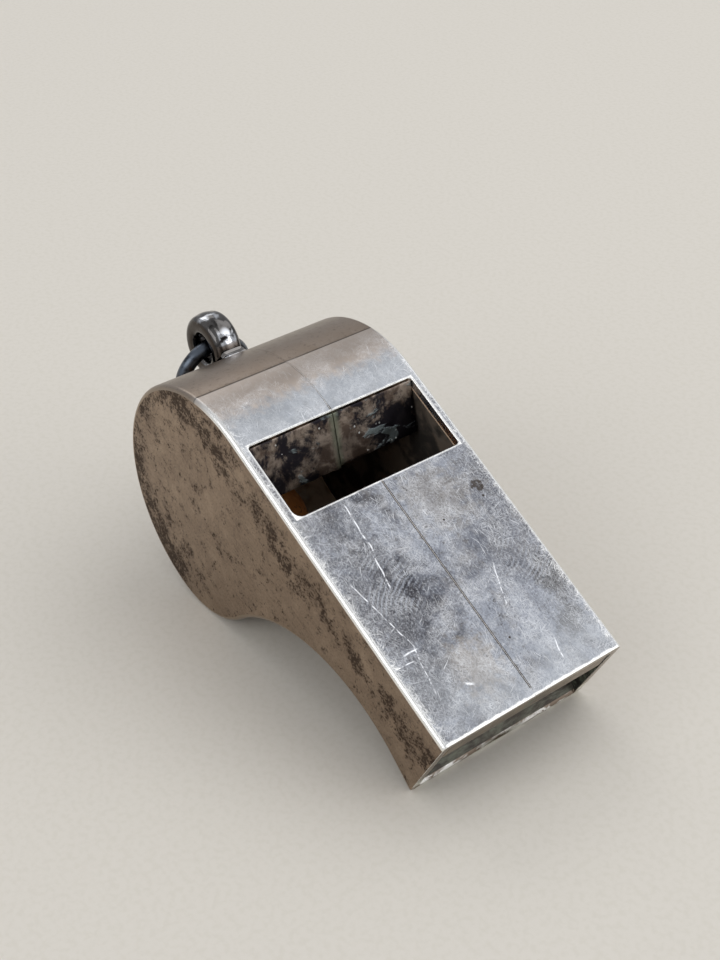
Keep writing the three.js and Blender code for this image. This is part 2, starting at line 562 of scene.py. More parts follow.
@dataclass(frozen=True)
class ScratchedPlate:
    """Silver plate over pressed brass, handled for years: cool grey, cross-scratched, white edges.

    The plating is a satin metal. Wear has rubbed it bright on the edges, fine scratches run in
    all directions, and warm tarnish is left where hands don't reach. Sizes are in millimetres.
    """

    cool: str = "#52545c"
    pale: str = "#7b7f88"
    hazy: str = "#67615a"
    patch: str = "#2c2b30"
    rubbed: str = "#a1a5aa"
    warm: str = "#a89c92"
    back: str = "#85776a"
    fleck: str = "#62554a"
    scratch: str = "#e9ebef"
    bright: str = "#fbfbf9"
    lip: str = "#978979"
    # Pale tone of the painted highlight along the lower lip
    lower_lip_highlight: str = "#e3e4d8"
    edge_tone: str = "#a08f7c"
    dirt: str = "#37302a"
    roughness: float = 0.33

    # Real hairlines and grit are about 0.01 wide; both are drawn coarser so that they show
    haze: Scratches = Scratches(0.8, 0.05, (-78.0, -51.0, -27.0, -6.0, 18.0, 41.0, 66.0), 0.51, 0.8)
    marks: Scratches = Scratches(2.8, 0.06, (-21.0, -7.0, 8.0, 23.0, 58.0), 0.63, 0.77)
    grit: Grain = Grain(0.2, 3.0, grit=0.65)

    clouds: Grain = Grain(9.0, 7.0, grit=0.62)
    hazes: Grain = Grain(3.6, 8.0, grit=0.7)
    smudges: Grain = Grain(1.7, 8.0, grit=0.72, shift=(11.0, 4.0, 0.0))
    flecks: Grain = Grain(0.4, 5.0, 0.3, 0.65)
    crowds: Grain = Grain(2.6, 4.0, 0.5, 0.6)
    gaps: Grain = Grain(1.2, 3.0)
    skips: Grain = Grain(0.6, 3.0, grit=0.6)
    pitted: Grain = Grain(4.0, 1.0)
    stained: Grain = Grain(0.5, 4.0, grit=0.6)
    dents: Grain = Grain(2.4, 2.0)
    strokes: tuple[Stroke, ...] = (
        Stroke((9.9, -4.0), (18.6, -5.0), 0.1),
        Stroke((16.4, -8.1), (24.0, -6.6)),
        Stroke((23.8, -6.7), (28.4, -7.3)),
        Stroke((24.0, -8.5), (24.1, -6.4)),
        Stroke((24.8, -9.2), (24.8, -7.2)),
        Stroke((28.9, 5.2), (31.1, 4.8)),
        Stroke((20.2, 4.9), (24.8, 3.2)),
        Stroke((28.3, -5.0), (29.1, -3.9), 0.18),
    )
    bend: float = 0.8
    bends_per_mm: float = 0.35
    fingers: tuple[FingerMark, ...] = (
        FingerMark((18.5, -5.2), (26.0, 0.5), 4.4),
        FingerMark((21.5, 7.6), (15.0, 3.0), 3.6),
    )
    blots: tuple[Blot, ...] = (
        Blot((27.4, -3.4), 5.0, "#857d74", 0.75),
        Blot((12.6, 3.6), 6.0, "#7f7b77", 0.6),
        Blot((23.4, 8.4), 3.2, "#2c2826", 0.9),
        Blot((27.6, 7.4), 2.8, "#2c2826", 0.85),
        Blot((20.5, -6.4), 6.0, "#2b2a30", 0.8),
        Blot((26.5, -7.2), 4.6, "#2b2a30", 0.8),
    )
    pit_spacing: float = 1.1
    stain: Point = (13.4, 7.8)
    stain_radius: float = 1.3
    window_back: float = 1.2
    window_front: float = 9.0
    window_side: float = 9.0
    light_zone: float = -2.3
    back_line: float = -5.89
    reach: float = 32.0
    edge: float = 10.0
    seam_end: float = 31.3

    def tone(self, place: SurfacePlace, band: BandPlace) -> Value:
        """Colour of the plating before it was scratched.

        Args:
            place: Place on the body.
            band: Place on the band.

        Returns:
            The colour.
        """
        clouds = self.clouds.on(band.flat)
        middle = abs(place.side - 1.5).fade(7.0, 0.0) * 0.1
        frontward = band.along.fade(18.0, 31.0) * 0.3
        smudge = self.smudges.on(band.flat)
        leftward = place.side.fade(1.0, -5.0) * 0.15
        rightward = place.side.fade(4.5, 9.0) * 0.1
        coats = [
            (self.pale, (clouds + middle + frontward).fade(0.42, 0.7)),
            (self.hazy, self.hazes.on(band.flat).fade(0.48, 0.66) * 0.5),
            (self.patch, (smudge + leftward + rightward).fade(0.5, 0.7) * 0.66),
        ]
        coats += [(blot.tone, blot.share(band)) for blot in self.blots]
        for finger in self.fingers:
            inside, ridges = finger.draw(band)
            coats += [(self.patch, inside * 0.55), (self.pale, ridges * 0.75)]

        # Grit, the rubbed front and back of the window, warm tarnish, brown behind the fine line
        grit = self.grit.on(band.flat)
        frontal = band.along.fade(23.0, 31.0) * clouds.fade(0.36, 0.58)
        near_window = band.along.fade(self.window_back + 2.0, self.window_back)
        tarnish = band.along + band.chips * 3.4
        behind = band.along.fade(self.back_line + 0.05, self.back_line - 0.15)
        flecks = self.flecks.on(place.spot).fade(0.54, 0.7)
        coats += [
            (self.patch, grit.fade(0.5, 0.3) * 0.6),
            (self.rubbed, grit.fade(0.52, 0.7) * 0.6),
            (self.rubbed, frontal * 0.45),
            (self.rubbed, near_window * 0.6),
            (self.warm, tarnish.fade(self.light_zone + 1.2, self.light_zone - 1.0) * 0.92),
            (self.back, behind),
            (self.fleck, flecks * behind * 0.6),
        ]
        return place.spot.graph.lay(self.cool, *coats)

    def scratched(self, band: BandPlace, quiet: Value) -> Value:
        """Fine haze, longer marks and a few deep strokes.

        Args:
            band: Place on the band.
            quiet: Share of scratches that the place gets.

        Returns:
            How scratched a point is.
        """
        edgeward = band.aside.fade(4.0, 9.8) * 0.75
        crowd = self.crowds.on(band.flat).fade(0.36, 0.66).join("MAXIMUM", edgeward)
        fine = self.haze.draw(band.bent) * crowd * 0.62
        unbroken = self.gaps.on(band.flat).fade(0.44, 0.58)
        long_marks = self.marks.draw(band.bent) * unbroken * 0.75
        first, *others = [stroke.draw(band.bent) for stroke in self.strokes]
        kept = self.skips.on(band.flat).fade(0.36, 0.58)
        deep = first.join("MAXIMUM", *others) * kept * 0.85
        return fine.join("MAXIMUM", long_marks, deep) * (quiet + 0.1)

    def grime(self, place: SurfacePlace, band: BandPlace) -> Value:
        """Pits, one stain, the seam and the fine line across the barrel.

        Args:
            place: Place on the body.
            band: Place on the band.

        Returns:
            How dirty a point is.
        """
        cells = {"Vector": place.spot, "Scale": 1 / self.pit_spacing}
        pits = place.spot.graph.add("TexVoronoi", cells).fade(0.14, 0.06)
        pits *= self.pitted.on(place.spot).fade(0.58, 0.7)
        pits *= band.along.fade(self.window_front, self.window_front + 1.0)
        near = band.flat.distance(self.stain).fade(self.stain_radius, 0.1) * 0.4
        stain = (self.stained.on(place.spot) + near).fade(0.74, 0.86) * 0.85
        seam = band.aside.fade(0.14, 0.06) * band.along.fade(self.seam_end, self.seam_end - 0.15)
        seam *= band.along.fade(0.0, 1.0) * 0.65 + 0.25
        crossing = abs(band.along - self.back_line).fade(0.13, 0.04) * 0.75
        return pits.join("MAXIMUM", stain, seam, crossing)

    def worn(self, place: SurfacePlace, band: BandPlace, quiet: Value, marks: Value) -> Value:
        """Bright wear on the upper edges, the front and the window's rim.

        Args:
            place: Place on the body.
            band: Place on the band.
            quiet: Share of wear that the place gets.
            marks: How scratched a point is; scratches crowd the edges.

        Returns:
            How worn a point is.
        """
        rounded = place.faces_side.fade(0.06, 0.3) * place.up.fade(1.5, 8.0)
        rounded *= quiet * 0.95 + 0.05
        middle = (self.window_front + self.window_back) / 2
        half = (self.window_front - self.window_back) / 2
        from_ends = abs(band.along - middle) - half
        rim = from_ends.join("MAXIMUM", band.aside - self.window_side) + band.chips * 0.2
        aside = band.aside + band.chips * 1.4 + marks * 1.6
        sides = aside.fade(self.edge - 0.5, self.edge + 0.4) * quiet * 0.6
        ahead = place.forward + band.chips * 0.5
        front = ahead.fade(self.reach - 0.36, self.reach - 0.12)

        # The line is whole on the upper lip and broken on the lower one
        front *= place.up.fade(5.0, 7.0).join("MAXIMUM", band.breaks)
        return rounded.join("MAXIMUM", rim.fade(0.26, 0.06) * 0.9, sides, front)

    def make(self) -> bpy.types.Material:
        """Builds the material.

        Returns:
            The material for the band of both halves.
        """
        graph = Graph("scratched_silver_plate")
        place = SurfacePlace.on_body(graph)
        band = BandPlace.on_band(place, self.bend, self.bends_per_mm)
        quiet = band.along.fade(self.back_line - 1.0, self.light_zone)
        marks = self.scratched(band, quiet)
        grime = self.grime(place, band)
        worn = self.worn(place, band, quiet, marks)
        lips = place.faces_forward.fade(0.86, 0.97)
        colour = graph.lay(
            self.tone(place, band),
            (self.scratch, marks),
            (self.dirt, grime),
            (self.edge_tone, place.faces_side.fade(0.1, 0.4) * place.up.fade(8.0, 1.5)),
            (self.bright, worn),
            (self.lip, lips),
            # Painted highlight: a broken pale strip on the lower lip's front face
            (self.lower_lip_highlight, lips * place.up.fade(6.0, 4.5) * band.breaks),
        )
        rough = band.crumbs * 0.2 + (self.roughness - 0.1) + marks * 0.12 - worn * 0.08
        relief = self.dents.on(place.spot) * 0.8 - marks - grime
        normal = graph.add("Bump", {"Strength": 0.35, "Distance": 0.03 * MM, "Height": relief})
        return graph.finish(normal, Base_Color=colour, Metallic=1.0, Roughness=rough)


@dataclass(frozen=True)
class TarnishedCheek:
    """The same plate where it is never rubbed: warm brown-grey satin with dark tarnish spots.

    Spots gather along the back rim, in a chain under the top edge and low on the toe, where
    painted shade also darkens it. The warm brown-grey is partly a painted reflection of a brown
    floor. A faint ring follows the back rim. Sizes are in millimetres.
    """

    # The warm brown-grey of these tones is partly a painted reflection of a brown floor
    skin: str = "#927f6d"
    light: str = "#a99581"
    shade: str = "#715f50"
    spot: str = "#3d2f25"
    roughness: float = 0.4
    clouds: Grain = Grain(3.0, 9.0, 0.3, 0.7)
    satin: Grain = Grain(0.35, 4.0, stretch=(0.3, 1.0, 2.4))

    # Real satin grit is finer; it is drawn coarser so that it shows
    grit: Grain = Grain(0.2, 4.0, grit=0.65)
    drift: Grain = Grain(3.0, 2.0)
    clusters: Grain = Grain(1.2, 5.0, 0.3, 0.6)
    spots: Grain = Grain(0.24, 4.0, 0.4, 0.6)
    polish: Grain = Grain(0.9, 4.0)
    dimples: Grain = Grain(0.5, 3.0)
    rim_radius: float = 11.6
    rim_depth: float = 3.0
    band_top: float = 10.4
    band_foot: float = 6.6
    line_radius: float = 9.3

    def make(self) -> bpy.types.Material:
        """Builds the material.

        Returns:
            The material for both cheeks.
        """
        graph = Graph("tarnished_silver_plate")
        place = SurfacePlace.on_body(graph)
        clouds, grit = self.clouds.on(place.spot), self.grit.on(place.spot)
        streaks = self.satin.on(place.spot).fade(0.4, 0.75)

        # Where spots crowd
        flat = graph.add("CombineXYZ", {0: place.forward, 1: place.up, 2: 0.0})
        radius = flat.distance((0.0, 0.0))
        behind = place.forward.fade(5.0, -1.0)
        rim = radius.fade(self.rim_radius - self.rim_depth, self.rim_radius - 0.6) * behind
        height = place.up + self.drift.on(place.spot) * 4.0 - 2.0
        chain = height.fade(self.band_foot, self.band_foot + 1.6)
        chain *= height.fade(self.band_top, self.band_top - 1.4)
        # Low on the toe: more spots, plus painted shade that darkens the cheek towards its bottom
        low = height.fade(-4.0, -8.0) * behind
        crowd = rim * 0.15 + chain * 0.19 + low * 0.14

        gather = self.clusters.on(place.spot) + crowd
        stain = (self.spots.on(place.spot) + gather * 0.8).fade(0.97, 1.16) * 0.88
        upper = (place.up + place.forward).fade(-3.0, 3.0)
        line = abs(radius - self.line_radius).fade(0.16, 0.05) * upper * behind * 0.55
        colour = graph.lay(
            self.skin,
            (self.light, clouds.fade(0.46, 0.7)),
            (self.shade, clouds.fade(0.47, 0.28)),
            (self.light, streaks * 0.5),
            (self.light, grit.fade(0.52, 0.7) * 0.6),
            (self.shade, grit.fade(0.5, 0.32) * 0.65),
            (self.shade, gather.fade(0.5, 0.74) * 0.55),
            (self.spot, stain.join("MAXIMUM", line)),
        )
        rough = self.polish.on(place.spot) * 0.24 + (self.roughness - 0.12) + stain * 0.2
        relief = self.dimples.on(place.spot) - stain - line
        normal = graph.add("Bump", {"Strength": 0.3, "Distance": 0.03 * MM, "Height": relief})
        return graph.finish(normal, Base_Color=colour, Metallic=1.0, Roughness=rough)


@dataclass(frozen=True)
class StainedInside:
    """Unpolished inner side of the sheet, dulled by grime so that little of the metal shows.

    The floor is brown with paler streaks, the side walls are darkened with painted shade, and
    the mouth is dark with painted shade and patches of verdigris. Sizes are in millimetres.
    """

    base: str = "#cdb59d"
    streak: str = "#d3c9bb"
    # Painted shade for the side walls inside the chamber
    wall_shade: str = "#1b1917"
    dark: str = "#a58a71"
    # Painted shade inside the mouth
    mouth_shade: str = "#211f1b"
    verdigris: str = "#6b7163"
    clouds: Grain = Grain(2.6, 5.0, 0.5)
    streaks: Grain = Grain(0.7, 4.0, 0.3, stretch=(0.35, 0.5, 2.4))
    patches: Grain = Grain(0.9, 7.0, 0.3, 0.7, stretch=(1.0, 0.3, 1.0))
    mouth: float = 25.0
    mouth_depth: float = 4.0
    roughness: float = 0.55
    metal: float = 0.1

    def make(self) -> bpy.types.Material:
        """Builds the material.

        Returns:
            The material for the inner faces.
        """
        graph = Graph("stained_inner_sheet")
        place = SurfacePlace.on_body(graph)
        clouds = self.clouds.on(place.spot)
        rubbed = self.streaks.on(place.spot).fade(0.52, 0.72)
        # Side walls darkened with painted shade
        shaded_walls = place.faces_side.fade(0.7, 0.95) * (clouds.fade(0.6, 0.42) * 0.16 + 0.82)
        patches = self.patches.on(place.spot).fade(0.42, 0.66)
        # Painted shade in the mouth, with patches of verdigris
        shaded_mouth = graph.lay(self.mouth_shade, (self.verdigris, patches))
        colour = graph.lay(
            self.base,
            (self.dark, clouds.fade(0.55, 0.35)),
            (self.streak, rubbed * 0.45),
            (self.wall_shade, shaded_walls),
            (shaded_mouth, place.forward.fade(self.mouth, self.mouth + self.mouth_depth) * 0.92),
        )
        rough = clouds * 0.2 + (self.roughness - 0.1) + shaded_walls * 0.25
        normal = graph.add("Bump", {"Strength": 0.3, "Distance": 0.04 * MM, "Height": rubbed})
        return graph.finish(normal, Base_Color=colour, Metallic=self.metal, Roughness=rough)


@dataclass(frozen=True)
class SolderedStrip:
    """Brass strip with heat stains and smeared tin solder: blue-black and brown, pale margins.

    Verdigris grows along the seam, and bright specks are beads of solder. Sizes are in
    millimetres.
    """

    name: str = "soldered_strip"
    stain: str = "#201f26"
    brown: str = "#584c45"
    beige: str = "#91857b"
    solder: str = "#7f8a8c"
    verdigris: str = "#767b6c"
    speck: str = "#f0f2f0"
    roughness: float = 0.38
    clouds: Grain = Grain(1.8, 8.0, 0.3, 0.65)
    stains: Grain = Grain(3.0, 9.0, 0.3, 0.68, shift=(7.0, 3.0, 1.0))
    smears: Grain = Grain(2.2, 6.0, 0.4, 0.6, stretch=(1.0, 0.7, 1.6))
    speckled: Grain = Grain(1.5, 1.0)
    lumps: Grain = Grain(0.8, 4.0)
    speck_spacing: float = 0.75
    dark_share: float = 0.47
    spread: float = 0.13
    margin_up: float = 11.7
    seam_width: float = 0.75

    def make(self) -> bpy.types.Material:
        """Builds the material.

        Returns:
            The material for the labium and the windway's roof.
        """
        graph = Graph(self.name)
        place = SurfacePlace.on_body(graph)
        clouds, aside = self.clouds.on(place.spot), abs(place.side)
        below = place.up.fade(self.margin_up, self.margin_up - 1.0)
        blot = self.stains.on(place.spot) - aside.fade(1.5, 5.0) * below * self.spread
        stained = blot.fade(self.dark_share + 0.05, self.dark_share - 0.05)
        tinned = self.smears.on(place.spot).fade(0.6, 0.66)
        drift = aside + clouds * 0.8 - 0.4
        cells = {"Vector": place.spot, "Scale": 1 / self.speck_spacing}
        specks = graph.add("TexVoronoi", cells).fade(0.17, 0.1)
        specks *= self.speckled.on(place.spot).fade(0.54, 0.62)
        colour = graph.lay(
            self.brown,
            (self.beige, clouds.fade(0.42, 0.6)),
            (self.stain, stained * 0.95),
            (self.solder, tinned * 0.8),
            (self.verdigris, drift.fade(self.seam_width, 0.1) * 0.75),
            (self.speck, specks * 0.8),
        )
        rough = clouds * 0.3 + (self.roughness - 0.15)
        relief = self.lumps.on(place.spot) + tinned + specks
        normal = graph.add("Bump", {"Strength": 0.4, "Distance": 0.08 * MM, "Height": relief})
        return graph.finish(normal, Base_Color=colour, Metallic=1.0, Roughness=rough)


@dataclass(frozen=True)
class OxidisedLoop:
    """Thick silver-plated casting, oxidised dark and rubbed glossy, brown on its end faces.

    Its front has a painted highlight on the faces that mirror the front softbox. Sizes are in
    millimetres.
    """

    name: str = "oxidised_silver_casting"
    base: str = "#62605f"
    dark: str = "#272524"
    end: str = "#423a34"
    # Pale tone for the rubbed patches and for the painted highlight on the front
    rubbed: str = "#d9dce2"
    highlight_way: Triple = (0.82, 0.0, 0.57)
    roughness: float = 0.1
    clouds: Grain = Grain(1.3, 4.0, 0.6)
    dimples: Grain = Grain(0.6, 3.0)

    def make(self) -> bpy.types.Material:
        """Builds the material.

        Returns:
            The material for the loop or its foot.
        """
        graph = Graph(self.name)
        place = SurfacePlace.on_body(graph)
        clouds = self.clouds.on(place.spot)
        # Painted highlight: faces that mirror the front softbox get the pale tone
        ways = {0: graph.add("TexCoord", output="Normal"), 1: self.highlight_way}
        ahead = graph.add("VectorMath", ways, "Value", operation="DOT_PRODUCT")
        colour = graph.lay(
            self.base,
            (self.dark, clouds.fade(0.55, 0.3)),
            (self.rubbed, clouds.fade(0.58, 0.78)),
            (self.rubbed, ahead.fade(0.92, 0.99) * clouds.fade(0.36, 0.5) * 0.9),
            (self.end, place.faces_side.fade(0.75, 0.98) * 0.8),
        )
        rough = clouds * 0.12 + (self.roughness - 0.06)
        relief = self.dimples.on(place.spot)
        normal = graph.add("Bump", {"Strength": 0.25, "Distance": 0.05 * MM, "Height": relief})
        return graph.finish(normal, Base_Color=colour, Metallic=1.0, Roughness=rough)


@dataclass(frozen=True)
class DarkWire:
    """Drawn steel wire, blued dark, with faint brown rust in its dull spots."""

    base: str = "#5e656f"
    dull: str = "#33363c"
    rust: str = "#5b4636"
    roughness: float = 0.3
    clouds: Grain = Grain(1.1, 4.0, 0.5)
    rusts: Grain = Grain(0.7, 4.0)

    def make(self) -> bpy.types.Material:
        """Builds the material.

        Returns:
            The material for the ring.
        """
        graph = Graph("blued_steel_wire")
        spot = own_place(graph)
        clouds = self.clouds.on(spot)
        rusty = self.rusts.on(spot).fade(0.6, 0.72)
        colour = graph.lay(
            self.base, (self.dull, clouds.fade(0.52, 0.3)), (self.rust, rusty * 0.5)
        )
        rough = clouds * 0.25 + (self.roughness - 0.12)
        normal = graph.add("Bump", {"Strength": 0.25, "Distance": 0.03 * MM, "Height": rusty})
        return graph.finish(normal, Base_Color=colour, Metallic=1.0, Roughness=rough)


@dataclass(frozen=True)
class Cork:
    """Turned natural cork: matt orange-brown grain with darker pores."""

    base: str = "#b9743a"
    light: str = "#c58a50"
    pore: str = "#4d2a14"
    roughness: float = 0.88
    grains: Grain = Grain(0.9, 5.0, 0.3)
    pores: Grain = Grain(0.55, 3.0, 1.0, stretch=(1.0, 0.45, 1.0))

    def make(self) -> bpy.types.Material:
        """Builds the material.

        Returns:
            The material for the pea.
        """
        graph = Graph("turned_cork")
        spot = own_place(graph)
        grains = self.grains.on(spot)
        pores = self.pores.on(spot).fade(0.6, 0.7)
        colour = graph.lay(
            self.base, (self.light, grains.fade(0.45, 0.7)), (self.pore, pores * 0.8)
        )
        relief = grains - pores
        normal = graph.add("Bump", {"Strength": 0.5, "Distance": 0.1 * MM, "Height": relief})
        return graph.finish(normal, Base_Color=colour, Roughness=self.roughness)


@dataclass(frozen=True)
class PaleCard:
    """Plain pale matt card under the whistle, with a faint fleck of fibres."""

    base: str = "#d9d4cb"
    fleck: str = "#d5d0c6"
    roughness: float = 0.85
    fibres: Grain = Grain(0.6, 4.0)

    def make(self) -> bpy.types.Material:
        """Builds the material.

        Returns:
            The material for the floor.
        """
        graph = Graph("pale_card")
        fibres = self.fibres.on(own_place(graph)).fade(0.4, 0.7)
        colour = graph.lay(self.base, (self.fleck, fibres))
        return graph.finish(Base_Color=colour, Roughness=self.roughness)


def mesh_object(
    name: str,
    points: Sequence[Vector],
    faces: Iterable[Sequence[int]],
    materials: Sequence[bpy.types.Material],
    zones: Sequence[int] | None = None,
) -> bpy.types.Object:
    """Makes a closed mesh with outward faces and puts it in the scene.

    Args:
        name: Name of the piece.
        points: Corners in metres, in the row frame.
        faces: Corner numbers of each face.
        materials: Material slots.
        zones: Slot number of each face, where there is more than one slot.

    Returns:
        The object.
    """
    mesh = bpy.data.meshes.new(name)
    mesh.from_pydata([tuple(p) for p in points], [], [list(f) for f in faces])
    for material in materials:
        mesh.materials.append(material)
    if zones is not None:
        mesh.polygons.foreach_set("material_index", list(zones))
    shaped = bmesh.new()
    shaped.from_mesh(mesh)
    bmesh.ops.recalc_face_normals(shaped, faces=shaped.faces)
    shaped.to_mesh(mesh)
    shaped.free()
    piece = bpy.data.objects.new(name, mesh)
    bpy.context.scene.collection.objects.link(piece)
    return piece


def loft(rings: int, count: int, closed: bool = False) -> list[Sequence[int]]:
    """Faces between rings of corners, where corners are numbered ring after ring.

    Args:
        rings: Number of rings.
        count: Corners of each ring.
        closed: Whether the last ring meets the first. Otherwise both are capped.

    Returns:
        Corner numbers of each face.
    """
    last = (rings - 1) * count
    faces: list[Sequence[int]] = [] if closed else [range(count), range(last, last + count)]
    for ring in range(rings if closed else rings - 1):
        here, there = ring * count, (ring + 1) % rings * count
        for i in range(count):
            j = (i + 1) % count
            faces.append((here + i, here + j, there + j, there + i))
    return faces


def smooth(piece: bpy.types.Object, crease_degrees: float = CREASE_DEGREES) -> None:
    """Shades a piece smooth, apart from edges sharper than the crease.

    Args:
        piece: Object to shade.
        crease_degrees: Angle from which an edge stays sharp.
    """
    piece.data.shade_smooth()
    piece.data.set_sharp_from_angle(angle=math.radians(crease_degrees))


def settle(piece: bpy.types.Object) -> None:
    """Turns a piece's modifiers into plain mesh.

    Args:
        piece: Object whose modifiers are applied.
    """
    bpy.context.view_layer.update()
    shown = piece.evaluated_get(bpy.context.evaluated_depsgraph_get())
    made = bpy.data.meshes.new_from_object(shown)
    old = piece.data
    piece.modifiers.clear()
    piece.data = made
    made.name = piece.name
    bpy.data.meshes.remove(old)


def soften_edges(piece: bpy.types.Object, width: float, seam_share: float = 1.0) -> None:
    """Rounds the sharp edges of a piece and keeps its flats flat.

    Args:
        piece: Object to round.
        width: Width of the rounding in millimetres.
        seam_share: Share of the width on edges that lie in the middle plane.
    """
    shaped = bmesh.new()
    shaped.from_mesh(piece.data)
    weights = shaped.edges.layers.float.new("bevel_weight_edge")
    for edge in shaped.edges:
        if len(edge.link_faces) == 2 and edge.calc_face_angle() > math.radians(SHARP_DEGREES):
            in_seam = all(abs(vertex.co.y) < SEAM_REACH * MM for vertex in edge.verts)
            edge[weights] = seam_share if in_seam else 1.0
    shaped.to_mesh(piece.data)
    shaped.free()
    bevel = piece.modifiers.new("rounding", "BEVEL")
    bevel.width = width * MM
    bevel.segments = ROUNDING_FACETS
    bevel.limit_method = "WEIGHT"
    bevel.use_clamp_overlap = False
    settle(piece)
    smooth(piece)
    flats = piece.modifiers.new("flats", "WEIGHTED_NORMAL")
    flats.keep_sharp = True
    settle(piece)


def put_on(piece: bpy.types.Object, body: str, node: str) -> None:
    """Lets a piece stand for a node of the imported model.

    Args:
        piece: Finished object.
        body: Body that it rides on.
        node: Node that it replaces.
    """
    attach(piece, body)
    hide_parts(node)
    log.info("%s: %d faces, rides on %s", piece.name, len(piece.data.polygons), body)


@dataclass(frozen=True)
class SideOutline:
    """Side view of the body: top plate, barrel, toe, arch and flare as one path. Millimetres."""

    barrel_radius: float = 12.4
    reach: float = 32.0
    toe_radius: float = 9.1
    toe_degrees: float = 86.6
    throat_reach: float = 7.4
    throat_height: float = 7.95
    flare_degrees: float = 15.0
    line_degrees: float = 27.2
    line_half_width: float = 0.11
    line_depth: float = 0.05
    lip_break: float = 0.25
    plate_steps: int = 56
    steps_to_line: int = 18
    steps_from_line: int = 96
    toe_steps: int = 30
    arch_steps: int = 48
    flare_steps: int = 10

    @property
    def toe_centre(self) -> Point:
        """Middle of the toe's arc."""
        return polar((0, 0), self.barrel_radius - self.toe_radius, -math.radians(self.toe_degrees))

    @property
    def throat(self) -> Point:
        """Top of the arch."""
        return self.reach - self.throat_reach, self.barrel_radius - self.throat_height

    @property
    def arch_radius(self) -> float:
        """Radius of the arch that tops out at the throat and touches the toe.

        Returns:
            The radius.
        """
        run = self.throat[0] - self.toe_centre[0], self.throat[1] - self.toe_centre[1]
        apart = run[0] ** 2 + run[1] ** 2 - self.toe_radius ** 2
        return apart / (2 * (self.toe_radius + run[1]))

    def barrel_stations(self) -> list[Point]:
        """Angles down the back of the barrel, with the depth of the fine line that crosses it.

        Returns:
            Pairs of angle and depth.
        """
        last = FULL_TURN - math.radians(self.toe_degrees)
        line = QUARTER_TURN + math.radians(self.line_degrees)
        half = self.line_half_width / self.barrel_radius
        before = [(a, 0.0) for a in sweep(QUARTER_TURN, line - half, self.steps_to_line)]
        after = [(a, 0.0) for a in sweep(line + half, last, self.steps_from_line)]
        return before + [(line, self.line_depth)] + after

    def path(
        self, inset: float, lip_inset: float | None = None, lined: bool = False
    ) -> list[Point]:
        """The outline from the mouth's top, round the back, to the mouth's foot.

        Args:
            inset: How far it is set in from the outer face.
            lip_inset: Inset at the lower lip, where the sheet is thinned.
            lined: Whether the fine line across the barrel is cut in.

        Returns:
            Points as forward and up.
        """
        lip_inset = inset if lip_inset is None else lip_inset
        top = self.barrel_radius - inset
        points = [(x, top) for x in sweep(self.reach, 0.0, self.plate_steps)[:-1]]
        for angle, depth in self.barrel_stations():
            points.append(polar((0, 0), top - (depth if lined else 0.0), angle))
        centre = self.throat[0], self.throat[1] - self.arch_radius
        run = math.atan2(centre[1] - self.toe_centre[1], centre[0] - self.toe_centre[0])
        for angle in sweep(-math.radians(self.toe_degrees), run, self.toe_steps)[1:]:
            points.append(polar(self.toe_centre, self.toe_radius - inset, angle))
        flare = QUARTER_TURN - math.radians(self.flare_degrees)
        for angle in sweep(run + HALF_TURN, flare, self.arch_steps)[1:]:
            points.append(polar(centre, self.arch_radius + inset, angle))
        fall = math.tan(math.radians(self.flare_degrees))
        start = points[-1]
        for share in sweep(0.0, 1.0, self.flare_steps)[1:]:
            x = start[0] + (self.reach - start[0]) * share
            thinned = (inset - lip_inset) * (share if share < 1 else 1 + self.lip_break)
            points.append((x, start[1] - (x - start[0]) * fall - thinned))
        return points


